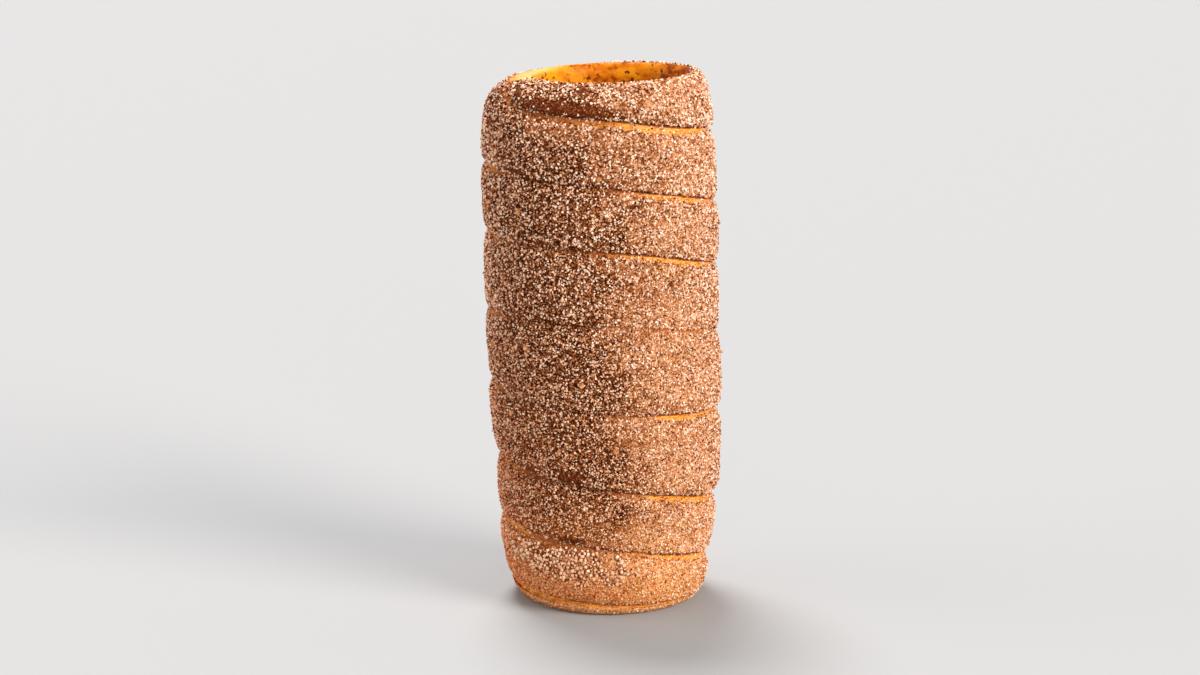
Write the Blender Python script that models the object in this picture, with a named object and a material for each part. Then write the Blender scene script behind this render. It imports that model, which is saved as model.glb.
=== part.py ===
# A chimney cake: one strip of sweet dough, wound round a spit in a falling left-handed helix,
# baked, rolled in coarse sugar and slid off the spit. It stands upright on its flat foot, +Z up
# along the bore, with its origin under the middle of its box. Angles run anticlockwise seen from
# above: 180 degrees is the left side, 270 the front and 360 the right. Units are metres.

import math
import random

import bmesh
import bpy
from mathutils import Euler, Vector, noise
from mathutils.bvhtree import BVHTree

NAME = "chimney_cake"

# The bore that the spit left: straight, and a little narrower at the foot
BORE_X = 0.0037
BORE_RADIUS_RIM = 0.0303
BORE_RADIUS_FOOT = 0.0286

# The rim: its crest's circle and height, how much higher it is at the right than at the left
# and at the back than at the front, and how far it rounds down inside and outside
RIM_RADIUS = 0.0326
RIM_HEIGHT = 0.2114
RIM_RISE_RIGHT = 0.0021
RIM_RISE_BACK = 0.0004
RIM_DROP = 0.0045
SHOULDER_HEIGHT = 0.0125

# The rim's rounding from its crest into the bore: share of the drop, how much wider than the bore
RIM_ROUNDING = [(0.08, 0.0016), (0.35, 0.0004), (1.0, 0.0)]

# The foot: a flat ring, with a big round corner outside and a small one inside
CORNER_HEIGHT = 0.0120
CORNER_INSET = 0.0056
FOOT_EDGE = 0.0009

# The small corner's rounding, in parts of its size: height, how much wider than the bore
FOOT_ROUNDING = [(2.5, 0.0), (0.3, 0.3), (0.0, 1.0)]

# The dough's girth between its seams: height, middle of the section across, and radius
GIRTH = [
    (0.000, 0.0027, 0.0382),
    (0.012, 0.0022, 0.0405),
    (0.030, 0.0019, 0.0427),
    (0.055, 0.0022, 0.0444),
    (0.078, 0.0014, 0.0455),
    (0.102, 0.0005, 0.0461),
    (0.130, -0.0006, 0.0460),
    (0.162, -0.0010, 0.0460),
    (0.187, -0.0019, 0.0455),
    (0.203, -0.0020, 0.0439),
]

# The seam between one turn of dough and the next: how far along the strip, in turns, and its
# height. Each line is a turn, from its left side over its front and right side to the back.
SEAM = [
    (0.11, 0.2030), (0.17, 0.1996), (0.25, 0.1980), (0.50, 0.1895),
    (1.00, 0.1775), (1.25, 0.1722), (1.50, 0.1615),
    (2.00, 0.1500), (2.25, 0.1474), (2.50, 0.1357),
    (3.00, 0.1193), (3.25, 0.1180), (3.50, 0.1085),
    (4.00, 0.0908), (4.14, 0.0856), (4.25, 0.0834), (4.50, 0.0772),
    (5.00, 0.0602), (5.25, 0.0525), (5.50, 0.0422),
    (6.00, 0.0350), (6.25, 0.0282), (6.50, 0.0178),
    (7.00, 0.0096), (7.25, 0.0051), (7.50, 0.0027),
]
SEAM_DEPTH = [
    (0.25, 0.0031), (1.25, 0.0023), (2.25, 0.0021), (3.25, 0.0017),
    (4.25, 0.0027), (5.25, 0.0034), (6.25, 0.0024), (7.25, 0.0018),
]
FIRST_TURN = 0.0416667
LAST_TURN = 7.6875
SEAM_OVERHANG = 0.0005
SEAM_DEPTH_SHARE = 0.33
SEAM_WAVER = 0.0005
WAVER_LENGTH = 0.017

# Across the strip, from the seam above it: how far below the seam each row lies, and its share
# of the seam's depth; then the same up from the seam below it
UPPER_EDGE = [(0.0009, 0.74), (0.0028, 0.30)]
LOWER_EDGE = [(0.0000, 0.60), (0.0009, 0.28), (0.0030, 0.08)]
EDGE_FULL_WIDTH = 0.012
LOWEST_ROW = 0.0004

# Unevenness of the dough: how big the dents are across, how deep, and how much the bore shows
DENTS = [(0.034, 0.0007), (0.012, 0.0004)]
BORE_DENTS = 0.7

# Fineness of the mesh
COLUMNS = 48
MIDDLE_ROWS = 2
SEW = 0.00002
MERGE = 0.000002
LINER_HEIGHTS = [0.160, 0.105, 0.050]

# The largest lumps of sugar. The steps spread them evenly up the cake and around it.
LUMPS = 110
LUMP_SIZE = (0.0024, 0.0014)
LUMP_SUNK = 0.30
LUMP_SEAM_GAP = 0.0030
LUMP_ZONE = (0.0130, 0.2000)
LUMP_STEPS = (0.7549, 0.5698)
LUMP_SEED = 11

# Sugared crust
CRUST_COLOUR = (0.52, 0.27, 0.15, 1.0)
CRUST_ROUGHNESS = 0.78
CREASE_DEGREES = 40


def smooth_value(knots, at):
    """Height at a place on the curve that runs through the knots and never swings past them."""
    if at <= knots[0][0]:
        return knots[0][1]
    if at >= knots[-1][0]:
        return knots[-1][1]
    slopes = []
    for (x0, y0), (x1, y1) in zip(knots, knots[1:]):
        slopes.append((y1 - y0) / (x1 - x0))
    leans = [slopes[0]]
    for before, after in zip(slopes, slopes[1:]):
        even = before * after > 0
        leans.append(2 * before * after / (before + after) if even else 0.0)
    leans.append(slopes[-1])
    span = 0
    while at > knots[span + 1][0]:
        span += 1
    (x0, y0), (x1, y1) = knots[span], knots[span + 1]
    width = x1 - x0
    s = (at - x0) / width
    rise = y1 - y0
    start = leans[span] * width
    end = leans[span + 1] * width
    return y0 + s * (start + s * (3 * rise - 2 * start - end + s * (start + end - 2 * rise)))


def angle_of(turn):
    """Turns are counted along the strip from the left side."""
    return math.pi + turn * 2 * math.pi


def rim_height(angle):
    across = RIM_RISE_RIGHT * math.cos(angle)
    along = RIM_RISE_BACK * math.sin(angle)
    return RIM_HEIGHT + 0.5 * (across + along)


CENTRE_KNOTS = [(height, centre) for height, centre, _ in GIRTH]
RADIUS_KNOTS = [(height, radius) for height, _, radius in GIRTH]
SEAM_KNOTS = [(FIRST_TURN, rim_height(angle_of(FIRST_TURN)))] + SEAM + [(LAST_TURN, 0.0)]


def seam_thin(height, turn):
    """How much dough is left between a seam and the nearer end of the cake."""
    return max(0.0, min(rim_height(angle_of(turn)) - height, height))


def seam_height(turn):
    """The seam falls from the rim to the foot, and wavers a little on the way."""
    height = smooth_value(SEAM_KNOTS, turn)
    steady = min(1.0, seam_thin(height, turn) / EDGE_FULL_WIDTH)
    waver = noise.noise(Vector((turn * 2 * math.pi * RIM_RADIUS / WAVER_LENGTH, 0, 0)))
    return height + SEAM_WAVER * waver * steady


def seam_depth(turn):
    """The seam is shallow where the dough beside it tapers away, at the rim and at the foot."""
    thin = seam_thin(seam_height(turn), turn)
    return min(smooth_value(SEAM_DEPTH, turn), SEAM_DEPTH_SHARE * thin)


def dents(angle, height):
    around = Vector((math.cos(angle), math.sin(angle), 0)) * BORE_RADIUS_RIM
    place = around + Vector((0, 0, height))
    total = 0.0
    for size, amount in DENTS:
        total += amount * noise.noise(place / size)
    return total


def outer_point(angle, height, inset):
    """A point on the outside, with its shoulder at the rim and its corner at the foot."""
    centre = smooth_value(CENTRE_KNOTS, height)
    radius = smooth_value(RADIUS_KNOTS, height) - inset + dents(angle, height)
    low = min(1.0, max(0.0, 1 - height / CORNER_HEIGHT))
    radius -= CORNER_INSET * (1 - math.sqrt(1 - low ** 2))
    high = 1 - (rim_height(angle) - height) / SHOULDER_HEIGHT
    high = min(1.0, max(0.0, high))
    turned_in = 1 - math.sqrt(1 - high ** 2)
    centre += (BORE_X - centre) * turned_in
    radius += (RIM_RADIUS - radius) * turned_in
    return Vector((centre + radius * math.cos(angle), radius * math.sin(angle), height))


def bore_point(angle, height, extra=0.0):
    share = height / RIM_HEIGHT
    radius = BORE_RADIUS_FOOT + (BORE_RADIUS_RIM - BORE_RADIUS_FOOT) * share + extra
    return Vector((BORE_X + radius * math.cos(angle), radius * math.sin(angle), height))


def foot_point(angle):
    point = outer_point(angle, 0.0, 0.0)
    point.z = 0.0
    return point


def seam_point(turn):
    """The bottom of the seam's groove, tucked up under the turn above it."""
    depth = seam_depth(turn)
    height = seam_height(turn) + SEAM_OVERHANG * depth / SEAM_DEPTH[0][1]
    return outer_point(angle_of(turn), height, depth)


def strip_column(turn):
    """The points across the strip of dough, from its upper edge to its lower one."""
    angle = angle_of(turn)
    at_rim = turn < FIRST_TURN + 1
    at_foot = turn > LAST_TURN
    top = rim_height(angle) if at_rim else seam_height(turn - 1)
    foot = 0.0 if at_foot else seam_height(turn)
    depth_above = 0.0 if at_rim else seam_depth(turn - 1)
    depth_below = 0.0 if at_foot else seam_depth(turn)
    narrow = min(1.0, (top - foot) / EDGE_FULL_WIDTH)
    first = outer_point(angle, top, 0.0) if at_rim else seam_point(turn - 1)
    last = foot_point(angle) if at_foot else seam_point(turn)
    points = [first]
    for below, share in UPPER_EDGE:
        points.append(outer_point(angle, top - below * narrow, depth_above * share))
    start = top - UPPER_EDGE[-1][0] * narrow
    end = foot + LOWER_EDGE[-1][0] * narrow
    for row in range(MIDDLE_ROWS):
        height = start + (end - start) * (row + 1) / (MIDDLE_ROWS + 1)
        points.append(outer_point(angle, height, 0.0))
    for above, share in reversed(LOWER_EDGE):
        lift = above * narrow
        if at_foot:
            lift = max(lift, LOWEST_ROW * narrow)
        points.append(outer_point(angle, foot + lift, depth_below * share))
    points.append(last)
    return points


def liner_column(turn):
    """From the rim's crest down the bore and out over the flat foot."""
    angle = angle_of(turn)
    rim = rim_height(angle)
    points = [outer_point(angle, rim, 0.0)]
    for share, wider in RIM_ROUNDING:
        points.append(bore_point(angle, rim - share * RIM_DROP, wider))
    for height in LINER_HEIGHTS:
        points.append(bore_point(angle, height, BORE_DENTS * dents(angle, height)))
    for share, wider in FOOT_ROUNDING:
        points.append(bore_point(angle, share * FOOT_EDGE, wider * FOOT_EDGE))
    points.append(foot_point(angle))
    return points


def wrap_grid(mesh, start, end, column_points):
    """Adds a flat grid and wraps it round the spit, column by column."""
    first = round(start * COLUMNS)
    columns = round(end * COLUMNS) - first
    wrapped = [column_points((first + column) / COLUMNS) for column in range(columns + 1)]
    rows = len(wrapped[0]) - 1
    grid = bmesh.ops.create_grid(mesh, x_segments=columns, y_segments=rows, size=0.5)
    for corner in grid["verts"]:
        column = round((corner.co.x + 0.5) * columns)
        row = round((corner.co.y + 0.5) * rows)
        corner.co = wrapped[column][row]


def dough_mesh():
    mesh = bmesh.new()
    wrap_grid(mesh, FIRST_TURN, LAST_TURN + 1, strip_column)
    wrap_grid(mesh, 0, 1, liner_column)
    bmesh.ops.remove_doubles(mesh, verts=mesh.verts, dist=SEW)
    bmesh.ops.dissolve_degenerate(mesh, edges=mesh.edges, dist=SEW)
    bmesh.ops.triangulate(mesh, faces=mesh.faces)
    bmesh.ops.recalc_face_normals(mesh, faces=mesh.faces)
    return mesh


def crust_material():
    material = bpy.data.materials.new("sugared_crust")
    material.use_nodes = True
    shader = material.node_tree.nodes["Principled BSDF"]
    shader.inputs["Base Color"].default_value = CRUST_COLOUR
    shader.inputs["Roughness"].default_value = CRUST_ROUGHNESS
    shader.inputs["Metallic"].default_value = 0.0
    return material


def object_from(mesh, name, collection):
    data = bpy.data.meshes.new(name)
    mesh.to_mesh(data)
    mesh.free()
    made = bpy.data.objects.new(name, data)
    collection.objects.link(made)
    return made


def near_a_seam(turn_share, height):
    for number in range(math.ceil(LAST_TURN)):
        if abs(seam_height(number + turn_share) - height) < LUMP_SEAM_GAP:
            return True
    return False


def lump_places(surface):
    """Evenly spread places on the crust, clear of the seams, each with its outward direction."""
    lowest, highest = LUMP_ZONE
    step_up, step_around = LUMP_STEPS
    places = []
    number = 0
    while len(places) < LUMPS:
        number += 1
        height = lowest + (highest - lowest) * (number * step_up % 1)
        turn_share = number * step_around % 1
        if near_a_seam(turn_share, height):
            continue
        outward = Vector((math.cos(angle_of(turn_share)), math.sin(angle_of(turn_share)), 0))
        outside = Vector((0, 0, height)) + outward * 2 * RIM_RADIUS
        point, normal, _, _ = surface.ray_cast(outside, -outward)
        places.append((point, normal))
    return places


def add_lumps(cake, collection):
    """Fuses the largest sugar lumps to the crust, biggest first."""
    mesh = bmesh.new()
    mesh.from_mesh(cake.data)
    surface = BVHTree.FromBMesh(mesh)
    mesh.free()
    draw = random.Random(LUMP_SEED)
    largest, smallest = LUMP_SIZE
    for number, (point, normal) in enumerate(lump_places(surface)):
        size = largest + (smallest - largest) * number / LUMPS
        lump = bmesh.new()
        bmesh.ops.create_icosphere(lump, subdivisions=1, radius=size / 2)
        turned = Euler([draw.uniform(0, math.pi) for _ in range(3)]).to_matrix()
        bmesh.ops.rotate(lump, verts=lump.verts, matrix=turned)
        middle = point + normal * size * (0.5 - LUMP_SUNK)
        bmesh.ops.translate(lump, verts=lump.verts, vec=middle)
        object_from(lump, "lump_%03d" % number, collection)
    fuse = cake.modifiers.new("sugar_lumps", "BOOLEAN")
    fuse.operation = "UNION"
    fuse.operand_type = "COLLECTION"
    fuse.collection = collection
    fuse.solver = "EXACT"
    fused = bpy.data.meshes.new_from_object(cake.evaluated_get(bpy.context.evaluated_depsgraph_get()))
    cake.modifiers.clear()
    cake.data = fused
    for lump in list(collection.objects):
        bpy.data.objects.remove(lump)
    bpy.data.collections.remove(collection)


def faces_joined_to(first):
    """All the faces that hang together with the first one, edge by edge."""
    joined = {first}
    waiting = [first]
    while waiting:
        for edge in waiting.pop().edges:
            fresh = [face for face in edge.link_faces if face not in joined]
            joined.update(fresh)
            waiting += fresh
    return joined


def tidy_solid(cake):
    """Leaves one body of plain triangles, without loose scraps of sugar."""
    mesh = bmesh.new()
    mesh.from_mesh(cake.data)
    bmesh.ops.remove_doubles(mesh, verts=mesh.verts, dist=MERGE)
    bmesh.ops.dissolve_degenerate(mesh, edges=mesh.edges, dist=MERGE)
    bmesh.ops.triangulate(mesh, faces=mesh.faces)
    lowest = min(mesh.faces, key=lambda face: face.calc_center_median().z)
    body = faces_joined_to(lowest)
    scraps = [face for face in mesh.faces if face not in body]
    bmesh.ops.delete(mesh, geom=scraps, context="FACES")
    mesh.to_mesh(cake.data)
    mesh.free()


def main():
    for existing in list(bpy.data.objects):
        bpy.data.objects.remove(existing)
    parts = bpy.data.collections.new(NAME)
    lumps = bpy.data.collections.new("sugar_lumps")
    bpy.context.scene.collection.children.link(parts)
    bpy.context.scene.collection.children.link(lumps)
    cake = object_from(dough_mesh(), NAME, parts)
    add_lumps(cake, lumps)
    tidy_solid(cake)
    cake.data.materials.clear()
    cake.data.materials.append(crust_material())
    cake.data.shade_smooth()
    cake.data.set_sharp_from_angle(angle=math.radians(CREASE_DEGREES))


main()
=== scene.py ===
import math
import random

import bpy
from mathutils import Euler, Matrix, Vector, noise
from mathutils.bvhtree import BVHTree


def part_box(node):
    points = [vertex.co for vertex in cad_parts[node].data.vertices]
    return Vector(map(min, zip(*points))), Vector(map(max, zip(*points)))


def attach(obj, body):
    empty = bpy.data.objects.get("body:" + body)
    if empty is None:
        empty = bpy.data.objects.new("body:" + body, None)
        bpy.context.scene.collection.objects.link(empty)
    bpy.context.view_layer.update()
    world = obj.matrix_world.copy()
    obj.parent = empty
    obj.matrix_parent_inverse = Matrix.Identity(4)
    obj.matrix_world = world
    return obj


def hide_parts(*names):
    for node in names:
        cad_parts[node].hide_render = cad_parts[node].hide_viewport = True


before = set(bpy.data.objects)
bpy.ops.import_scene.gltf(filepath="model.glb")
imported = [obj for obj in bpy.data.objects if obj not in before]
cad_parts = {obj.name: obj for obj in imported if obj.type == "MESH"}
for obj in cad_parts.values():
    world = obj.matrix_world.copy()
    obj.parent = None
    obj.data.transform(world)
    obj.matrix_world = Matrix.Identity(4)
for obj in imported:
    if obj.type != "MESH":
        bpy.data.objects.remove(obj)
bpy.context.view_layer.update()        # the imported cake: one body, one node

cakeLow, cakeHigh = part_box("chimney_cake")
print("frame loaded, cake is", round(cakeHigh[2] * 1000), "mm tall")

# the form of the dough, in metres, as it was wound: angles run anticlockwise seen from above,
# 180 degrees is the left side, 270 the front, 360 the right, and turns count from the left side
doughForm = {
    "boreX": 0.0037, "boreAtRim": 0.0303, "boreAtFoot": 0.0286,
    "rimRadius": 0.0326, "rimHeight": 0.2114, "rimRiseRight": 0.0021, "rimRiseBack": 0.0004,
    "rimDrop": 0.0045, "shoulder": 0.0125,
    "cornerHeight": 0.0120, "cornerInset": 0.0056, "footEdge": 0.0009,
    "girth": [                      # height, middle across, radius
        (0.000, 0.0027, 0.0382), (0.012, 0.0022, 0.0405), (0.030, 0.0019, 0.0427),
        (0.055, 0.0022, 0.0444), (0.078, 0.0014, 0.0455), (0.102, 0.0005, 0.0461),
        (0.130, -0.0006, 0.0460), (0.162, -0.0010, 0.0460), (0.187, -0.0019, 0.0455),
        (0.203, -0.0020, 0.0439),
    ],
    "seam": [                       # turns along the strip, height; one line a turn
        (0.11, 0.2030), (0.17, 0.1996), (0.25, 0.1980), (0.50, 0.1895),
        (1.00, 0.1775), (1.25, 0.1722), (1.50, 0.1615),
        (2.00, 0.1500), (2.25, 0.1474), (2.50, 0.1357),
        (3.00, 0.1193), (3.25, 0.1180), (3.50, 0.1085),
        (4.00, 0.0908), (4.14, 0.0856), (4.25, 0.0834), (4.50, 0.0772),
        (5.00, 0.0602), (5.25, 0.0525), (5.50, 0.0422),
        (6.00, 0.0350), (6.25, 0.0282), (6.50, 0.0178),
        (7.00, 0.0096), (7.25, 0.0051), (7.50, 0.0027),
    ],
    "seamDepth": [
        (0.25, 0.0031), (1.25, 0.0023), (2.25, 0.0021), (3.25, 0.0017),
        (4.25, 0.0027), (5.25, 0.0034), (6.25, 0.0024), (7.25, 0.0018),
    ],
    "firstTurn": 0.0416667, "lastTurn": 7.6875,
    "overhang": 0.0005, "depthShare": 0.33, "edgeFullWidth": 0.012, "edgeRaised": 0.0011,
    "waver": 0.0005, "waverLength": 0.017, "fineWaver": 0.00025, "fineLength": 0.0035,
    "crustRadius": 0.045, "dentRadius": 0.0325,
    "dents": [(0.034, 0.0007), (0.012, 0.0004)], "pimples": (0.0022, 0.00022),
    "bulge": 0.0004, "sugarRoom": 0.0003,
    "openStrip": [                  # turns along the seam, height of the bare strip, how golden
        (0.045, 0.0008, 0.50), (0.07, 0.0016, 0.42), (0.11, 0.0022, 0.28), (0.15, 0.0018, 0.34),
        (0.20, 0.0019, 0.46), (0.25, 0.0020, 0.58), (0.30, 0.0022, 0.80), (0.36, 0.0025, 0.96),
        (0.42, 0.0024, 1.00), (0.46, 0.0010, 0.70), (0.60, 0.0004, 0.30), (0.78, 0.0012, 0.80),
        (0.92, 0.0005, 0.50),
        (1.00, 0.0014, 0.70), (1.03, 0.0020, 0.66), (1.09, 0.0012, 0.42), (1.16, 0.0007, 0.20),
        (1.22, 0.0007, 0.20), (1.28, 0.0007, 0.42), (1.33, 0.0010, 0.82), (1.42, 0.0014, 1.00),
        (1.46, 0.0006, 0.60), (1.62, 0.0009, 0.80), (1.85, 0.0004, 0.40),
        (2.00, 0.0012, 0.72), (2.03, 0.0016, 0.66), (2.09, 0.0010, 0.40), (2.16, 0.0007, 0.20),
        (2.23, 0.0007, 0.30), (2.28, 0.0008, 0.66), (2.35, 0.0010, 0.90), (2.41, 0.0014, 1.00),
        (2.46, 0.0006, 0.70), (2.70, 0.0012, 0.90),
        (3.00, 0.0012, 0.62), (3.06, 0.0015, 0.50), (3.12, 0.0009, 0.26), (3.18, 0.0010, 0.22),
        (3.24, 0.0005, 0.20), (3.30, 0.0003, 0.40), (3.37, 0.0003, 0.55), (3.45, 0.0003, 0.50),
        (3.75, 0.0008, 0.60),
        (3.94, 0.0009, 0.55), (4.00, 0.0015, 0.66), (4.05, 0.0014, 0.50), (4.11, 0.0009, 0.30),
        (4.20, 0.0003, 0.10), (4.29, 0.0003, 0.20), (4.33, 0.0010, 0.80), (4.38, 0.0017, 1.00),
        (4.46, 0.0008, 0.80), (4.70, 0.0011, 0.80),
        (4.94, 0.0008, 0.55), (5.00, 0.0020, 0.70), (5.06, 0.0018, 0.60), (5.12, 0.0011, 0.38),
        (5.20, 0.0011, 0.18), (5.28, 0.0007, 0.40), (5.33, 0.0015, 0.85), (5.43, 0.0018, 1.00),
        (5.50, 0.0010, 0.90), (5.72, 0.0007, 0.60), (5.95, 0.0007, 0.60), (6.01, 0.0012, 0.74),
        (6.08, 0.0014, 0.72), (6.16, 0.0016, 0.40), (6.23, 0.0006, 0.36), (6.30, 0.0004, 0.66),
        (6.38, 0.0014, 0.90), (6.46, 0.0014, 1.00), (6.75, 0.0008, 0.60),
        (6.95, 0.0012, 0.70), (7.03, 0.0026, 0.74), (7.13, 0.0028, 0.74), (7.20, 0.0020, 0.72),
        (7.28, 0.0010, 0.66), (7.34, 0.0005, 0.60), (7.50, 0.0004, 0.60),
    ],
    # bare crust; under the first turn's overhanging edge the dark patch is also a painted shadow
    "bareAndShadedPatches": [                # turns, height above the seam below, half length, half height
        (0.200, 0.0024, 0.0250, 0.0038), (0.100, 0.0024, 0.0070, 0.0012), (0.212, 0.0094, 0.0042, 0.0017),
        (1.130, 0.0010, 0.0090, 0.0009), (2.160, 0.0008, 0.0100, 0.0008), (3.170, 0.0008, 0.0080, 0.0007),
        (5.196, 0.0028, 0.0076, 0.0034), (5.130, 0.0016, 0.0070, 0.0012), (6.195, 0.0012, 0.0078, 0.0018),
    ],
    "seamOpens": (0.0004, 0.0011), "shutShare": 0.50,      # height of the open strip, share of the depth
    "columns": 240, "upperRows": 13, "middleRows": 11, "lowerRows": 12, "boreRows": 40,
    "welded": 0.00001, "shortest": 0.000005,
}


def smoothValue(knots, at, column=1):
    # a curve through the knots that never swings past them
    if at <= knots[0][0]:
        return knots[0][column]
    if at >= knots[-1][0]:
        return knots[-1][column]
    span = 0
    while at > knots[span + 1][0]:
        span += 1
    def slope(number):
        before, after = knots[number], knots[number + 1]
        return (after[column] - before[column]) / (after[0] - before[0])
    def lean(number):
        if number == 0 or number == len(knots) - 1:
            return slope(min(number, len(knots) - 2))
        before, after = slope(number - 1), slope(number)
        return 2 * before * after / (before + after) if before * after > 0 else 0.0
    width = knots[span + 1][0] - knots[span][0]
    rise = knots[span + 1][column] - knots[span][column]
    start, end = lean(span) * width, lean(span + 1) * width
    s = (at - knots[span][0]) / width
    bend = start + end - 2 * rise
    return knots[span][column] + s * (start + s * (3 * rise - 2 * start - end + s * bend))


def ease(value, low, high):
    # 0 at low, 1 at high, whichever of the two is larger
    share = min(1.0, max(0.0, (value - low) / (high - low)))
    return share * share * (3 - 2 * share)


def angleOf(turn):
    return math.pi + turn * 2 * math.pi


def rimHeight(angle):
    # the rises are those from one side of the rim to the other
    rise = doughForm["rimRiseRight"] * math.cos(angle) + doughForm["rimRiseBack"] * math.sin(angle)
    return doughForm["rimHeight"] + 0.5 * rise


seamKnots = [(doughForm["firstTurn"], rimHeight(angleOf(doughForm["firstTurn"])))]
seamKnots += doughForm["seam"] + [(doughForm["lastTurn"], 0.0)]


def seamThin(height, turn):
    return max(0.0, min(rimHeight(angleOf(turn)) - height, height))


def seamHeight(turn):
    height = smoothValue(seamKnots, turn)
    steady = min(1.0, seamThin(height, turn) / doughForm["edgeFullWidth"])
    along = turn * 2 * math.pi * doughForm["rimRadius"]
    waver = doughForm["waver"] * noise.noise(Vector((along / doughForm["waverLength"], 0, 0)))
    waver += doughForm["fineWaver"] * noise.noise(Vector((along / doughForm["fineLength"], 7, 0)))
    return height + waver * steady


def edgeHeight(turn):
    # where the overhanging edge is seen, a little above the groove's middle
    height = seamHeight(turn)
    steady = min(1.0, seamThin(height, turn) / doughForm["edgeFullWidth"])
    return height + doughForm["edgeRaised"] * steady


def seamDepth(turn):
    thin = seamThin(seamHeight(turn), turn)
    return min(smoothValue(doughForm["seamDepth"], turn), doughForm["depthShare"] * thin)


def dents(angle, height):
    place = Vector((math.cos(angle), math.sin(angle), 0)) * doughForm["boreAtRim"]
    place += Vector((0, 0, height))
    total = 0.0
    for size, amount in doughForm["dents"]:
        total += amount * noise.noise(place * doughForm["dentRadius"] / doughForm["boreAtRim"] / size)
    return total


def onCrust(angle, height):
    return Vector((math.cos(angle), math.sin(angle), 0)) * doughForm["crustRadius"] + Vector((0, 0, height))


def pimples(angle, height):
    size, amount = doughForm["pimples"]
    return amount * noise.noise(onCrust(angle, height) / size)


def outerPoint(angle, height, inset):
    centre = smoothValue(doughForm["girth"], height, 1)
    radius = smoothValue(doughForm["girth"], height, 2) - inset + dents(angle, height)
    low = min(1.0, max(0.0, 1 - height / doughForm["cornerHeight"]))
    radius -= doughForm["cornerInset"] * (1 - math.sqrt(1 - low ** 2))
    high = 1 - (rimHeight(angle) - height) / doughForm["shoulder"]
    high = min(1.0, max(0.0, high))
    turnedIn = 1 - math.sqrt(1 - high ** 2)
    centre += (doughForm["boreX"] - centre) * turnedIn
    radius += (doughForm["rimRadius"] - radius) * turnedIn
    return Vector((centre + radius * math.cos(angle), radius * math.sin(angle), height))


def borePoint(angle, height, extra):
    share = height / doughForm["rimHeight"]
    radius = doughForm["boreAtFoot"] + (doughForm["boreAtRim"] - doughForm["boreAtFoot"]) * share
    radius += extra
    return Vector((doughForm["boreX"] + radius * math.cos(angle), radius * math.sin(angle), height))


def footPoint(angle):
    point = outerPoint(angle, 0.0, 0.0)
    point.z = 0.0
    return point


def seamState(turn):
    # the seam under a turn: how deep it is, how high a strip lies open in it, how golden that
    # strip is and how far the seam is pressed shut
    openHeight = smoothValue(doughForm["openStrip"], turn, 1)
    shut = 1 - ease(openHeight, *doughForm["seamOpens"])
    depth = seamDepth(turn) * (1 - (1 - doughForm["shutShare"]) * shut)
    return depth, openHeight, smoothValue(doughForm["openStrip"], turn, 2), shut


def seamPoint(turn):
    depth = seamState(turn)[0]
    height = edgeHeight(turn) + doughForm["overhang"] * depth / doughForm["seamDepth"][0][1]
    return outerPoint(angleOf(turn), height, depth)


# the lower edge of a turn, from its side round the overhanging lip into the groove:
# how far along, height above the seam, share of the seam's depth
lipRoll = [
    (0.00, 0.0070, 0.00), (0.35, 0.0030, 0.06), (0.58, 0.0013, 0.17), (0.74, 0.0005, 0.33),
    (0.86, 0.0000, 0.56), (0.94, 0.0001, 0.80), (1.00, 0.0005, 1.00),
]


# a grain is how fine an unevenness is along and across the strip, and which pattern it takes
bareLook = {"grain": (140, 600, 3), "ragged": 0.45, "edge": (0.6, 1.15)}


def stripNoise(turn, lift, grain):
    along, across, pattern = grain
    return noise.noise(Vector((turn * along, lift * across, pattern)))


# bare patches of dark crust, the long one under the first turn's edge partly a painted shadow
def bareAndShadedPatch(turn, lift):
    worst = 0.0
    ragged = bareLook["ragged"] * stripNoise(turn, lift, bareLook["grain"])
    for patchTurn, patchLift, halfLong, halfTall in doughForm["bareAndShadedPatches"]:
        along = (turn - patchTurn) * 2 * math.pi * doughForm["crustRadius"] / halfLong
        across = (lift - patchLift) / halfTall
        worst = max(worst, 1 - ease(math.hypot(along, across) + ragged, *bareLook["edge"]))
    return worst


# the side that baked longest: its middle above and below, how strong it is at which cosines of
# the angle from there, and how it ends at the foot, at the rim and in patches at the back
bakedSide = {
    "above": math.radians(240), "below": math.radians(236), "movesOver": (0.110, 0.085),
    "wander": [(0.026, 0.30), (0.009, 0.30)], "patternHeight": 0.5,
    "wide": 0.54, "wideFacing": (-0.1, 0.88), "core": 0.58, "coreFacing": (0.68, 1.0),
    "foot": (0.008, 0.046), "rim": 0.3, "rimHeights": (0.196, 0.204), "rimFacing": (0.6, 0.9),
    "back": 0.75, "backFacing": (-0.1, 0.5), "patches": (0.0, 0.45),
    "patchRound": 1.6, "patchTall": 34, "patchPattern": 8,
}
# how the coat is thinned and clumped
coatHeld = {
    "thinned": 0.03, "clumped": 0.16, "clumpedAnyway": 0.4, "clumpSize": 0.0026, "clumps": (-0.1, 0.5),
    "footThinned": 0.10, "footHeights": (0.034, 0.017),
}


def bakedLong(angle, height, place):
    look = bakedSide
    middle = look["above"] + (look["below"] - look["above"]) * ease(height, *look["movesOver"])
    middle += sum(reach * noise.noise(place / size) for size, reach in look["wander"])
    facing = math.cos(angle - middle)
    side = look["wide"] * ease(facing, *look["wideFacing"])
    side += look["core"] * ease(facing, *look["coreFacing"])
    side *= ease(height, *look["foot"])
    side += look["rim"] * ease(height, *look["rimHeights"]) * ease(-math.cos(angle), *look["rimFacing"])
    east, north = math.cos(angle) * look["patchRound"], math.sin(angle) * look["patchRound"]
    browned = noise.noise(Vector((east, north, height * look["patchTall"] + look["patchPattern"])))
    back = look["back"] * ease(math.sin(angle), *look["backFacing"])
    return max(side, back * ease(browned, *look["patches"]))


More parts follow.
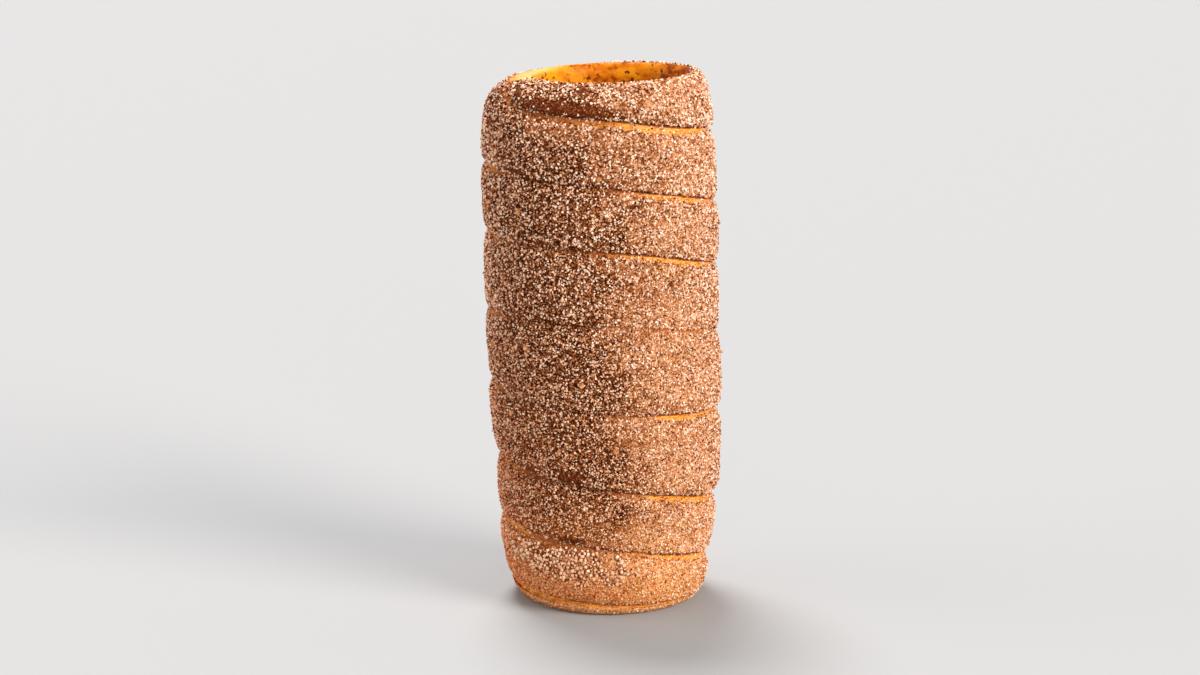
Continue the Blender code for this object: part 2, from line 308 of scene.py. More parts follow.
def sugarHeld(angle, height):
    # how much of the coat holds there, and how long the crust under it baked
    place = onCrust(angle, height + bakedSide["patternHeight"])
    side = bakedLong(angle, height, place)
    clump = ease(noise.noise(place / coatHeld["clumpSize"]), *coatHeld["clumps"])
    anyway = coatHeld["clumpedAnyway"]
    held = 1 - side * coatHeld["thinned"] - (anyway + (1 - anyway) * side) * coatHeld["clumped"] * clump
    held -= coatHeld["footThinned"] * ease(height, *coatHeld["footHeights"])
    return min(1.0, max(0.0, held)), side


# where the drift of larger grains lies on the last turn
driftPatch = {
    "turn": 7.175, "lift": 0.0150, "halfLong": 0.033, "halfTall": 0.0092, "radius": 0.042,
    "grain": (50, 260, 6), "ragged": 0.9, "edge": (0.45, 1.0),
}


def driftHeld(turn, lift):
    along = (turn - driftPatch["turn"]) * 2 * math.pi * driftPatch["radius"] / driftPatch["halfLong"]
    across = (lift - driftPatch["lift"]) / driftPatch["halfTall"]
    ragged = driftPatch["ragged"] * stripNoise(turn, lift, driftPatch["grain"])
    return 1 - ease(math.hypot(along, across) + ragged, *driftPatch["edge"])


# the rim's crest is bare at the left and at the back left, and thinly coated at the back
rimLook = {
    "bareAtFront": (0.86, 1.00), "bareAtBack": (-0.30, 0.40), "farCoat": 0.24, "farFrom": (0.0, 0.4),
    "gold": 0.9, "baked": 1.1, "bakedHeight": 0.2, "bareBelow": 0.0016,
    "sugarFade": (-0.0004, 0.0006), "goldFade": (0.0, 0.0006),
}


def rimBare(angle):
    if math.sin(angle) < 0:
        return ease(-math.cos(angle), *rimLook["bareAtFront"])
    return ease(-math.cos(angle), *rimLook["bareAtBack"])


def rimHeld(angle):
    return (1 - rimBare(angle)) * (1 - (1 - rimLook["farCoat"]) * ease(math.sin(angle), *rimLook["farFrom"]))


def rimCoat(angle):
    baked = rimLook["baked"] * sugarHeld(angle, rimLook["bakedHeight"])[1]
    return rimHeld(angle), rimLook["gold"] * rimBare(angle), 0.0, 0.0, baked, 0.0


# what shows at a seam; fades are metres before and after an edge
seamLook = {
    "ledge": [                      # below the edge, plus a share of the open strip, share of depth
        (0.0, 0.0, 1.0), (0.0011, 0.3, 0.90), (0.0016, 1.0, 0.62), (0.0032, 1.0, 0.24), (0.0062, 1.0, 0.0),
    ],
    "crowded": 1.5, "footCrowded": 1.3, "calmEnds": 4, "calmNarrow": 3,
    "atRim": (0.0, 0.0004, 0.0, 1.0), "atFoot": (0.0, 1.0, 0.0, 0.0),        # as seamState gives them
    "openUneven": 0.6, "openGrain": (70, 1, 0), "openMost": 0.45,
    "bridged": 0.28, "bridgeFade": (0.0, 0.2), "bridgeGrain": (85, 5, 0),
    "raggedMiddle": 0.5, "ragged": 0.9, "raggedGrain": (150, 500, 9),
    "lipBare": (0.78, 0.93), "lipGrooveShade": (0.86, 1.0), "lipSugar": 0.5,
    "shutSugar": 0.30, "sprinkled": 0.10, "brownSprinkled": 0.36, "shutCoat": 0.5,
    "stripEdge": 0.0010, "stripRagged": 0.0007, "sugarFade": (-0.0002, 0.0007), "goldFade": (0.0002, 0.0014),
    "grooveFades": (0.0005, 0.0012), "grooveOpens": 0.12, "grooveSeen": (0.0002, 0.0006),
    "lastTurns": (7.9, 8.0), "lastGrooveShade": 0.6, "footBare": 0.0012, "footGold": 0.6,
    "paleShare": 0.5, "paleHeights": (0.184, 0.194), "paleFacing": (-0.75, -0.50),
    "bareTakes": 0.94, "driftTakes": 0.84,
}


def fade(value, edge, reach):
    return ease(value, edge + reach[0], edge + reach[1])


def stripRows(top, foot, openHeight, depthAbove, depthBelow, atFoot):
    # the rows across the strip: height, how far set in, how far below the upper edge and how
    # far round the lower lip
    narrow = min(1.0, (top - foot) / doughForm["edgeFullWidth"])
    ledge = [(start + share * openHeight, depth) for start, share, depth in seamLook["ledge"]]
    upperReach = ledge[-1][0] * narrow
    lowerReach = lipRoll[0][1] * narrow
    rows = []
    for row in range(doughForm["upperRows"] + 1):
        below = upperReach * (row / doughForm["upperRows"]) ** seamLook["crowded"]
        inset = depthAbove * smoothValue(ledge, below / narrow) if narrow > 0 else 0.0
        rows.append((top - below, inset, below, 0.0))
    start, end = top - upperReach, foot + lowerReach
    for row in range(1, doughForm["middleRows"] + 1):
        share = row / (doughForm["middleRows"] + 1)
        rows.append((start + (end - start) * share, 0.0, upperReach, 0.0))
    for row in range(doughForm["lowerRows"] + 1):
        along = row / doughForm["lowerRows"]
        lift = smoothValue(lipRoll, along, 1) * narrow
        if atFoot:
            lift = lowerReach * (1 - along) ** seamLook["footCrowded"]
        rows.append((foot + lift, depthBelow * smoothValue(lipRoll, along, 2), upperReach, along))
    return rows, narrow


def edgeCoat(turn, below, openHeight, ragged, seam):
    # under the overhanging edge above: how much sugar stays, how golden, and how deep in the groove, which
    # sets the painted shade there
    _, openAbove, openGold, shutAbove = seam
    edge = seamLook["stripEdge"] + openHeight + seamLook["stripRagged"] * (ragged - seamLook["raggedMiddle"])
    bridge = fade(stripNoise(turn, 1, seamLook["bridgeGrain"]), seamLook["bridged"], seamLook["bridgeFade"])
    sprinkled = seamLook["sprinkled"] + seamLook["brownSprinkled"] * (1 - openGold)
    shut = seamLook["shutSugar"] * shutAbove
    sugar = max(fade(below, edge, seamLook["sugarFade"]), shut, bridge, sprinkled)
    gold = openGold * (1 - fade(below, edge, seamLook["goldFade"]))
    # painted shade in the groove, only where the strip above lies open
    near, far = seamLook["grooveFades"]
    grooveShade = 1 - ease(below, near, far + seamLook["grooveOpens"] * openHeight)
    grooveShade *= ease(openAbove, *seamLook["grooveSeen"])
    grooveShade *= 1 - seamLook["lastGrooveShade"] * ease(turn, *seamLook["lastTurns"])
    return sugar, gold, grooveShade


def stripColumn(turn):
    # the points across the strip, from its upper edge to its lower one, each with how much
    # sugar it holds, how golden it is, how deep in a groove (its painted shade), how bare
    # (partly painted shadow), how long baked, and how much of the drift lies there
    angle = angleOf(turn)
    atRim = turn < doughForm["firstTurn"] + 1
    atFoot = turn > doughForm["lastTurn"]
    top = rimHeight(angle) if atRim else edgeHeight(turn - 1)
    foot = 0.0 if atFoot else edgeHeight(turn)
    seamAbove = seamLook["atRim"] if atRim else seamState(turn - 1)
    seamBelow = seamLook["atFoot"] if atFoot else seamState(turn)
    shutAbove, shutBelow = seamAbove[3], seamBelow[3]
    openHeight = seamAbove[1]
    if not atRim:
        openHeight *= 1 + seamLook["openUneven"] * stripNoise(turn, 1, seamLook["openGrain"])
    openHeight = min(openHeight, seamLook["openMost"] * (top - foot))
    rows, narrow = stripRows(top, foot, openHeight, seamAbove[0], seamBelow[0], atFoot)
    points = []
    for number, (height, inset, below, along) in enumerate(rows):
        upper = number <= doughForm["upperRows"]
        share = number / (len(rows) - 1)
        swell = doughForm["bulge"] * math.sin(math.pi * share) * narrow - doughForm["sugarRoom"]
        calm = seamLook["calmEnds"] * min(share, 1 - share)
        fine = pimples(angle, height) * min(1.0, calm)
        point = outerPoint(angle, height, inset - (swell + fine) * min(1.0, narrow * seamLook["calmNarrow"]))
        sugar, side = sugarHeld(angle, height)
        pale = ease(height, *seamLook["paleHeights"]) * ease(math.cos(angle), *seamLook["paleFacing"])
        side *= rimLook["baked"] if atRim else 1 - seamLook["paleShare"] * pale
        ragged = stripNoise(turn, height, seamLook["raggedGrain"])
        ragged = seamLook["raggedMiddle"] + seamLook["ragged"] * ragged
        lipHolds = max(seamLook["shutSugar"] * shutBelow, seamLook["lipSugar"] * ragged)
        sugar *= 1 - ease(along, *seamLook["lipBare"]) * (1 - lipHolds)
        gold = 0.0
        # painted shade rises round the lower lip into the groove
        grooveShade = 0.0 if atFoot else ease(along, *seamLook["lipGrooveShade"])
        if upper and atRim:
            bareRim = rimLook["bareBelow"] * rimBare(angle)
            sugar *= fade(below, bareRim, rimLook["sugarFade"])
            gold = rimLook["gold"] * rimBare(angle) * (1 - fade(below, bareRim, rimLook["goldFade"]))
        elif upper:
            stays, gold, grooveShade = edgeCoat(turn, below, openHeight, ragged, seamAbove)
            sugar *= stays
        if atFoot and height <= seamLook["footBare"]:
            sugar = 0.0
        bareAndShaded = bareAndShadedPatch(turn, height - foot)
        drift = driftHeld(turn, height - foot)
        sugar *= (1 - seamLook["bareTakes"] * bareAndShaded) * (1 - seamLook["driftTakes"] * drift)
        points.append((point, sugar, gold, grooveShade, bareAndShaded, side, drift))
    # the seams' own points take the full painted shade of the groove
    if atRim:
        points[0] = (outerPoint(angle, top, 0.0),) + rimCoat(angle)
    else:
        points[0] = (seamPoint(turn - 1), seamLook["shutCoat"] * shutAbove, 0.0, 1.0, 0.0, side, 0.0)
    if atFoot:
        points[-1] = (footPoint(angle), 0.0, seamLook["footGold"], 0.0, 0.0, side, 0.0)
    else:
        points[-1] = (seamPoint(turn), seamLook["shutCoat"] * shutBelow, 0.0, 1.0, 0.0, side, 0.0)
    return points


boreLook = {
    "crestShares": (0.25, 0.5, 0.75, 1.0), "crestRound": 1.6, "crestDrop": 1.7,
    "printLow": 0.004, "printTall": 0.0016, "printDeep": 0.0006, "dents": 0.7, "pimples": 0.5,
    "pimplesTall": 0.5, "calmFoot": 0.004, "footRound": 0.3,
    "coatShares": (0.9, 0.45, 0.10), "coatEnds": (0.0, 0.3),
}


def boreColumn(turn):
    # from the rim's crest down the bore, which keeps a faint print of the turns, and out
    # over the flat foot
    angle = angleOf(turn)
    rim = rimHeight(angle)
    drop = doughForm["rimDrop"]
    points = [outerPoint(angle, rim, 0.0)]
    for share in boreLook["crestShares"]:
        edge = (doughForm["rimRadius"] - doughForm["boreAtRim"]) * (1 - share) ** boreLook["crestRound"]
        points.append(borePoint(angle, rim - drop * share ** boreLook["crestDrop"], edge))
    rows = doughForm["boreRows"]
    for row in range(1, rows):
        height = (rim - drop) * (1 - row / rows)
        printed = 0.0
        for number in range(math.ceil(doughForm["lastTurn"])):
            gap = height - seamHeight(number + turn) - boreLook["printLow"]
            printed = max(printed, math.exp(-(gap / boreLook["printTall"]) ** 2))
        extra = boreLook["dents"] * dents(angle, height) + boreLook["printDeep"] * printed
        extra += boreLook["pimples"] * pimples(angle, height * boreLook["pimplesTall"])
        points.append(borePoint(angle, height, extra * min(1.0, height / boreLook["calmFoot"])))
    edge = doughForm["footEdge"]
    points.append(borePoint(angle, boreLook["footRound"] * edge, boreLook["footRound"] * edge))
    points.append(borePoint(angle, 0.0, edge))
    points.append(footPoint(angle))
    coated = rimHeld(angle)
    inner = coated * (1 - ease(math.sin(angle), *boreLook["coatEnds"]))
    coats = [coated] + [share * inner for share in boreLook["coatShares"]]
    coats += [0.0] * (len(points) - len(coats))
    return [(point, sugar, 1.0, 0.0, 0.0, 0.0, 0.0) for point, sugar in zip(points, coats)]


def wrapGrid(name, firstTurn, endTurn, columnPoints):
    # a flat grid is wound round the spit, column by column
    columns = round((endTurn - firstTurn) * doughForm["columns"])
    first = round(firstTurn * doughForm["columns"])
    wound = [columnPoints((first + column) / doughForm["columns"]) for column in range(columns + 1)]
    rows = len(wound[0]) - 1
    bpy.ops.object.select_all(action="DESELECT")
    bpy.ops.mesh.primitive_grid_add(x_subdivisions=columns, y_subdivisions=rows, size=1)
    grid = bpy.context.object
    grid.name = name
    values = {"sugar": [], "gold": [], "grooveShade": [], "bareAndShaded": [], "baked": [], "drift": []}
    for corner in grid.data.vertices:
        column = round((corner.co.x + 0.5) * columns)
        row = round((corner.co.y + 0.5) * rows)
        corner.co = wound[column][row][0]
        for key, value in zip(list(values), wound[column][row][1:]):
            values[key].append(value)
    values["inside"] = [float(columnPoints is boreColumn)] * len(grid.data.vertices)
    for key, numbers in values.items():
        grid.data.attributes.new(key, "FLOAT", "POINT").data.foreach_set("value", numbers)
    return grid


def makeDough():
    strip = wrapGrid("doughTube", doughForm["firstTurn"], doughForm["lastTurn"] + 1, stripColumn)
    print("strip wound,", len(strip.data.polygons), "faces")
    bore = wrapGrid("bore", 0, 1, boreColumn)
    bpy.ops.object.select_all(action="DESELECT")
    bore.select_set(True)
    strip.select_set(True)
    bpy.context.view_layer.objects.active = strip
    bpy.ops.object.join()
    bpy.ops.object.mode_set(mode="EDIT")
    bpy.ops.mesh.select_all(action="SELECT")
    bpy.ops.mesh.remove_doubles(threshold=doughForm["welded"])
    bpy.ops.mesh.dissolve_degenerate(threshold=doughForm["shortest"])
    bpy.ops.mesh.normals_make_consistent(inside=False)
    bpy.ops.object.mode_set(mode="OBJECT")
    bpy.ops.object.shade_smooth()
    return strip


class Wire:
    # a socket that can be added, subtracted and multiplied like a number
    def __init__(self, bench, socket):
        self.bench = bench
        self.socket = socket

    def __add__(self, other):
        return self.bench.maths("ADD", self, other)

    def __sub__(self, other):
        return self.bench.maths("SUBTRACT", self, other)

    def __rsub__(self, other):
        return self.bench.maths("SUBTRACT", other, self)

    def __mul__(self, other):
        return self.bench.maths("MULTIPLY", self, other)

    __radd__ = __add__
    __rmul__ = __mul__


class Finish:
    # one material and its nodes
    def __init__(self, name):
        self.material = bpy.data.materials.new(name)
        self.material.use_nodes = True
        self.tree = self.material.node_tree
        self.shader = self.tree.nodes["Principled BSDF"]

    def plug(self, socket, value):
        if isinstance(value, Wire):
            self.tree.links.new(value.socket, socket)
        else:
            socket.default_value = value

    def add(self, kind, settings=None, sockets=None, output=0):
        node = self.tree.nodes.new(kind)
        for name, value in (settings or {}).items():
            setattr(node, name, value)
        for name, value in (sockets or {}).items():
            self.plug(node.inputs[name], value)
        return Wire(self, node.outputs[output])

    def maths(self, operation, first, second):
        return self.add("ShaderNodeMath", {"operation": operation}, {0: first, 1: second})

    def band(self, value, low, high):
        settings = {"interpolation_type": "SMOOTHSTEP"}
        return self.add("ShaderNodeMapRange", settings, {"Value": value, "From Min": low, "From Max": high})

    def blend(self, amount, first, second, way="MIX"):
        # 0, 6, 7 and 2 are the Mix node's sockets for colours
        settings = {"data_type": "RGBA", "blend_type": way}
        return self.add("ShaderNodeMix", settings, {0: amount, 6: first, 7: second}, 2)

    def read(self, name):
        return self.add("ShaderNodeAttribute", {"attribute_name": name}, output="Fac")

    def split(self, vector):
        return [self.add("ShaderNodeSeparateXYZ", sockets={0: vector}, output=axis) for axis in range(3)]

    def place(self):
        return self.add("ShaderNodeTexCoord", output="Object")

    def uneven(self, cloud, reach):
        # a cloud's tone as a small shift, up or down
        return (cloud - 0.5) * reach

    def cloud(self, size, detail, stretch=(1, 1, 1), rough=0.55):
        turned = self.add("ShaderNodeMapping", sockets={"Vector": self.place(), "Scale": stretch})
        sockets = {"Vector": turned, "Scale": 1 / size, "Detail": detail, "Roughness": rough}
        return self.add("ShaderNodeTexNoise", sockets=sockets)

    def sand(self, size):
        # the tone of each grain of sand and how far a point lies from its middle
        sockets = {"Vector": self.place(), "Scale": 1 / size}
        tone = self.add("ShaderNodeTexVoronoi", None, sockets, "Color")
        return tone, Wire(self, tone.socket.node.outputs["Distance"])

    def bump(self, height, depth, strength):
        return self.add("ShaderNodeBump", sockets={"Height": height, "Distance": depth, "Strength": strength})

    def give(self, name, value):
        self.plug(self.shader.inputs[name], value)


# clouds are size, detail and stretch; pairs are where a blend begins and where it is full, in
# metres for heights and places across, otherwise in the tone or attribute that it reads
doughLook = {
    "blotch": (0.0045, 3), "patch": (0.020, 2), "fine": (0.0011, 2), "streak": (0.0034, 3, (1, 1, 9)),
    "patchBakes": 0.9, "blotchBakes": 0.5, "browned": (0.10, 0.80), "darkened": (0.60, 1.00),
    "lightCrust": (0.50, 0.18, 0.060, 1), "brownCrust": (0.17, 0.032, 0.004, 1),
    "darkCrust": (0.048, 0.007, 0.001, 1),
    "amberHeights": (0.022, 0.048), "amberUneven": 0.03, "amberAcross": (-0.030, 0.034),
    "amberGrain": (0.20, 0.5), "amberCrust": (0.80, 0.30, 0.052, 1), "rustCrust": (0.40, 0.100, 0.012, 1),
    # painted light: the lip at the foot is painted lighter, standing in for light from below
    "paintedLipLightHeights": (0.0090, 0.0035), "paintedLipLightShare": 0.8, "paintedLitLipCrust": (0.92, 0.52, 0.20, 1),
    "sandSize": 0.00050, "sandBaked": (0.0, 1.0), "sandLost": 0.24, "driftCrust": (0.17, 0.032, 0.004, 1),
    "tanGrains": (0.30, 0.50), "tanShare": 0.75, "tanLost": 0.5, "sandTan": (0.58, 0.25, 0.090, 1),
    "paleGrains": (0.52, 0.66), "paleShare": 0.80, "sandPale": (0.80, 0.48, 0.28, 1),
    "toastStreaks": (0.45, 0.60), "goldShadedInGroove": (0.0, 0.40), "brownGold": (0.85, 0.35),
    "golden": (0.88, 0.37, 0.050, 1), "toasted": (0.52, 0.120, 0.008, 1),
    "brownStrip": (0.31, 0.072, 0.010, 1),
    "goldUneven": 0.4, "goldEdge": (0.15, 0.45), "goldSand": (0.66, 0.72), "goldSandShare": 0.5,
    # the groove's painted shade under each overhanging edge
    "paintedGrooveShadeShare": 0.9, "paintedGrooveShade": (0.085, 0.015, 0.002, 1),
    "bareSand": (0.60, 0.68), "bareSandShare": 0.3, "bareAndShadedDark": (0.10, 0.015, 0.002, 1),
    "boreCloud": (0.011, 4, (1, 1, 1.6)), "boreShadedToRight": 5.0, "mottle": (0.0024, 4), "mottleShare": 0.8,
    "boreAmbered": (0.34, 0.58), "boreBrowned": (0.88, 1.06), "boreSpotted": (0.57, 0.66),
    "boreGold": (0.80, 0.31, 0.010, 1), "boreAmber": (0.58, 0.135, 0.001, 1),
    "boreBrown": (0.25, 0.045, 0.001, 1), "boreSpot": (0.13, 0.020, 0.002, 1),
    "rimUneven": 0.003, "rimHeights": (0.2090, 0.2104), "rimAcross": (-0.014, -0.026), "rimShare": 0.6,
    "rimGroove": (0.0, 0.3), "rimPale": (0.86, 0.54, 0.20, 1),
    "rough": 0.70, "goldRough": 0.45, "boreRough": 0.50, "mottleRough": 0.1,
    "blotchRelief": 0.5, "streakRelief": 0.5, "sandInGold": 0.8, "reliefDepth": 0.00035, "relief": 0.8,
    "coated": (0.0, 1.0), "coat": 0.05, "coatRough": 0.30, "shine": 0.04,
}


def doughFinish():
    look = doughLook
    finish = Finish("bakedDough")
    blotch = finish.cloud(*look["blotch"])
    patch = finish.cloud(*look["patch"])
    fine = finish.cloud(*look["fine"])
    sand, sandGap = finish.sand(look["sandSize"])
    across, _, height = finish.split(finish.place())
    # the crust, from light to dark, amber and rusty low down, with sand on it
    baked = finish.read("baked") + finish.uneven(patch, look["patchBakes"])
    baked = baked + finish.uneven(blotch, look["blotchBakes"])
    crust = finish.blend(finish.band(baked, *look["browned"]), look["lightCrust"], look["brownCrust"])
    crust = finish.blend(finish.band(baked, *look["darkened"]), crust, look["darkCrust"])
    amber = 1 - finish.band(height + finish.uneven(patch, look["amberUneven"]), *look["amberHeights"])
    amberTone = finish.blend(finish.band(across, *look["amberAcross"]), look["rustCrust"], look["amberCrust"])
    crust = finish.blend(amber * finish.band(fine, *look["amberGrain"]), crust, amberTone)
    # painted light: the lip at the foot is painted lighter, standing in for light from below
    paintedLipLightMask = finish.band(height, *look["paintedLipLightHeights"]) * look["paintedLipLightShare"]
    crust = finish.blend(paintedLipLightMask, crust, look["paintedLitLipCrust"])
    grainy = sand - finish.band(baked, *look["sandBaked"]) * look["sandLost"]
    drift = finish.read("drift")
    crust = finish.blend(drift, crust, look["driftCrust"])
    tan = finish.band(grainy, *look["tanGrains"]) * (look["tanShare"] - drift * look["tanLost"])
    crust = finish.blend(tan, crust, look["sandTan"])
    pale = finish.band(grainy, *look["paleGrains"]) * look["paleShare"]
    crust = finish.blend(pale, crust, look["sandPale"])
    # the open strips under the edges, golden to brown
    streak = finish.cloud(*look["streak"])
    goldness = finish.read("gold")
    grooveShade = finish.read("grooveShade")
    gold = finish.blend(finish.band(streak, *look["toastStreaks"]), look["golden"], look["toasted"])
    # towards the groove the gold turns toasted, partly painted shade under the edge
    gold = finish.blend(finish.band(grooveShade, *look["goldShadedInGroove"]), gold, look["toasted"])
    gold = finish.blend(finish.band(goldness, *look["brownGold"]), gold, look["brownStrip"])
    goldMask = finish.band(goldness + finish.uneven(fine, look["goldUneven"]), *look["goldEdge"])
    goldMask = goldMask * (1 - finish.band(sand, *look["goldSand"]) * look["goldSandShare"])
    colour = finish.blend(goldMask, crust, gold)
    # painted shade: the groove under each overhanging edge is painted dark
    colour = finish.blend(grooveShade * look["paintedGrooveShadeShare"], colour, look["paintedGrooveShade"])
    # bare patches painted dark: bare crust, and under the first turn's edge a painted shadow
    bareAndShaded = finish.read("bareAndShaded") * (1 - finish.band(sand, *look["bareSand"]) * look["bareSandShare"])
    colour = finish.blend(bareAndShaded, colour, look["bareAndShadedDark"])
    # the bore, mottled, lighter at the left and darker at the right partly as painted light and shade, and
    # the pale left of the rim
    boreTone = finish.cloud(*look["boreCloud"]) + across * look["boreShadedToRight"]
    mottle = finish.cloud(*look["mottle"])
    bore = finish.blend(finish.band(boreTone, *look["boreAmbered"]), look["boreGold"], look["boreAmber"])
    browned = finish.band(boreTone + mottle * look["mottleShare"], *look["boreBrowned"])
    bore = finish.blend(browned, bore, look["boreBrown"])
    bore = finish.blend(finish.band(mottle, *look["boreSpotted"]), bore, look["boreSpot"])
    inside = finish.read("inside")
    colour = finish.blend(inside, colour, bore)
    rim = finish.band(height + finish.uneven(fine, look["rimUneven"]), *look["rimHeights"])
    rim = rim * finish.band(across, *look["rimAcross"]) * look["rimShare"]
    colour = finish.blend(rim * (1 - finish.band(grooveShade, *look["rimGroove"])), colour, look["rimPale"])
    finish.give("Base Color", colour)
    rough = look["rough"] - goldMask * (look["rough"] - look["goldRough"])
    rough = rough - inside * (look["rough"] - look["boreRough"]) + mottle * look["mottleRough"]
    finish.give("Roughness", rough)
    relief = blotch * look["blotchRelief"] + streak * look["streakRelief"]
    relief = relief + sandGap * (goldMask * look["sandInGold"] - 1.0)
    finish.give("Normal", finish.bump(relief, look["reliefDepth"], look["relief"]))
    finish.give("Coat Weight", finish.band(goldMask + inside, *look["coated"]) * look["coat"])
    finish.give("Coat Roughness", look["coatRough"])
    finish.give("Specular IOR Level", look["shine"])
    return finish.material


# which draws make a grain of a kind, its lighter and darker colour, size, shape and shine, and
# how much of the warmth low on the cake it takes
sugarKinds = {
    "sugarDark": {
        "drawn": (0.00, 0.15), "tint": (0.34, 0.080, 0.014, 1), "deep": (0.056, 0.009, 0.001, 1),
        "size": 0.00056, "shape": "shard", "shine": 0.05, "warmed": 1.3,
    },
    "sugarBrown": {
        "drawn": (0.15, 0.32), "tint": (0.52, 0.175, 0.052, 1), "deep": (0.14, 0.026, 0.003, 1),
        "size": 0.00058, "shape": "shard", "shine": 0.08, "warmed": 1.3,
    },
    "sugarTan": {
        "drawn": (0.32, 0.49), "tint": (0.68, 0.29, 0.120, 1), "deep": (0.34, 0.100, 0.025, 1),
        "size": 0.00056, "shape": "wedge", "shine": 0.15, "warmed": 1.2,
    },
    "sugarBlush": {
        "drawn": (0.49, 0.665), "tint": (0.81, 0.44, 0.25, 1), "deep": (0.54, 0.22, 0.095, 1),
        "size": 0.00059, "shape": "wedge", "shine": 0.30, "warmed": 1.1,
    },
    "sugarPale": {
        "drawn": (0.665, 0.84), "tint": (0.89, 0.60, 0.42, 1), "deep": (0.76, 0.45, 0.28, 1),
        "size": 0.00062, "shape": "wedge", "shine": 0.32, "warmed": 0.95,
    },
    "sugarFrost": {
        "drawn": (0.84, 1.00), "tint": (0.94, 0.77, 0.64, 1), "deep": (0.88, 0.65, 0.49, 1),
        "size": 0.00066, "shape": "wedge", "shine": 0.45, "warmed": 0.75,
    },
}
# the coat that every kind of grain is strewn in: how close, how large, how deep in the crust,
# larger higher up, and how the well-baked side shifts the kinds that are drawn
sugarCoat = {
    "held": "sugar", "gap": 0.00046, "density": 6.0e6,
    "seed": 5, "turnSeed": 9, "sizeSeed": 14, "proudSeed": 8, "kindSeed": 21, "toneSeed": 33,
    "smallest": 0.65, "largest": 1.35, "sunk": -0.00008, "proud": 0.00032, "atFoot": 0.86, "perMetre": 1.4,
    "bakedSpread": 0.52, "bakedLean": 0.115, "lastDraw": 0.9999,
}
# larger pale grains lie in a drift on the last turn
sugarDrift = {
    "held": "drift", "gap": 0.00115, "density": 1.2e6,
    "seed": 2, "turnSeed": 4, "sizeSeed": 6, "proudSeed": 7,
    "smallest": 0.40, "largest": 1.30, "sunk": 0.00015, "proud": 0.00060, "atFoot": 1.0, "perMetre": 0.0,
}
driftGrain = {
    "drawn": (0.0, 1.0), "tint": (0.95, 0.79, 0.64, 1), "deep": (0.80, 0.50, 0.32, 1),
    "size": 0.00100, "shape": "block", "shine": 0.40, "warmed": 0.75,
}
# the least and most that a grain is turned
anyWay = [(0, 0, 0), (6.283, 6.283, 6.283)]
lumpGrain = {"tint": (0.90, 0.64, 0.48, 1), "deep": (0.56, 0.24, 0.070, 1), "shine": 0.45, "warmed": 0.9}


class CoatTree:
    # the geometry nodes that strew one kind of grain over the crust
    def __init__(self, name):
        self.tree = bpy.data.node_groups.new(name, "GeometryNodeTree")
        self.tree.interface.new_socket("Geometry", in_out="INPUT", socket_type="NodeSocketGeometry")
        self.tree.interface.new_socket("Geometry", in_out="OUTPUT", socket_type="NodeSocketGeometry")
        self.entry = self.tree.nodes.new("NodeGroupInput")
        self.exit = self.tree.nodes.new("NodeGroupOutput")

    def add(self, kind, settings=None, sockets=None):
        node = self.tree.nodes.new(kind)
        for name, value in (settings or {}).items():
            setattr(node, name, value)
        for name, value in (sockets or {}).items():
            if isinstance(value, bpy.types.NodeSocket):
                self.tree.links.new(value, node.inputs[name])
            else:
                node.inputs[name].default_value = value
        return node

    def chance(self, kind, low, high, seed):
        # the node has a pair of sockets and an output for each kind of value
        first, made = {"FLOAT": (2, 1), "FLOAT_VECTOR": (0, 0)}[kind]
        node = self.add("FunctionNodeRandomValue", {"data_type": kind},
                        {first: low, first + 1: high, "Seed": seed})
        return node.outputs[made]

    def read(self, name):
        return self.add("GeometryNodeInputNamedAttribute", {"data_type": "FLOAT"}, {"Name": name}).outputs[0]

    def sum(self, operation, *values):
        return self.add("ShaderNodeMath", {"operation": operation}, dict(enumerate(values))).outputs[0]

    def realize(self, placed):
        tone = self.chance("FLOAT", 0.0, 1.0, sugarCoat["toneSeed"])
        stored = self.add("GeometryNodeStoreNamedAttribute", {"data_type": "FLOAT", "domain": "INSTANCE"},
                          {"Geometry": placed.outputs[0], "Name": "tone", "Value": tone})
        real = self.add("GeometryNodeRealizeInstances", None, {"Geometry": stored.outputs[0]})
        self.tree.links.new(real.outputs[0], self.exit.inputs[0])

    def applyTo(self, piece):
        bpy.ops.object.select_all(action="DESELECT")
        piece.select_set(True)
        bpy.context.view_layer.objects.active = piece
        strew = piece.modifiers.new("strewing", "NODES")
        strew.node_group = self.tree
        bpy.ops.object.modifier_apply(modifier=strew.name)

    def kindDrawn(self, low, high):
        # which kind of grain a point gets: on the well-baked side more of the darkest and palest
        baked = self.read("baked")
        drawn = self.chance("FLOAT", -0.5, 0.5, sugarCoat["kindSeed"])
        spread = self.sum("ADD", self.sum("MULTIPLY", baked, sugarCoat["bakedSpread"]), 1.0)
        lean = self.sum("SUBTRACT", 0.5, self.sum("MULTIPLY", baked, sugarCoat["bakedLean"]))
        placed = self.sum("ADD", self.sum("MULTIPLY", drawn, spread), lean)
        placed = self.sum("MINIMUM", self.sum("MAXIMUM", placed, 0), sugarCoat["lastDraw"])
        return self.sum("COMPARE", placed, (low + high) / 2, (high - low) / 2)


crystalForm = {
    "sides": 3, "wedgeWide": 0.66, "shardWide": 0.80, "shardLong": 1.2,
    "squeezed": [(0.75, 1.10), (0.70, 1.00), (0.65, 0.95)],       # across, deep and tall
}


def makeCrystal(name, shape, size, draw):
    # one sugar crystal or splinter of one, pushed out of true
    bpy.ops.object.select_all(action="DESELECT")
    sides = crystalForm["sides"]
    if shape == "block":
        bpy.ops.mesh.primitive_cube_add(size=size)
    elif shape == "wedge":
        wide = crystalForm["wedgeWide"] * size
        bpy.ops.mesh.primitive_cylinder_add(vertices=sides, radius=wide, depth=size)
    else:
        wide = crystalForm["shardWide"] * size
        bpy.ops.mesh.primitive_cone_add(vertices=sides, radius1=wide, depth=crystalForm["shardLong"] * size)
    crystal = bpy.context.object
    crystal.name = name
    for corner in crystal.data.vertices:
        for axis, (least, most) in enumerate(crystalForm["squeezed"]):
            corner.co[axis] *= draw.uniform(least, most)
    return crystal


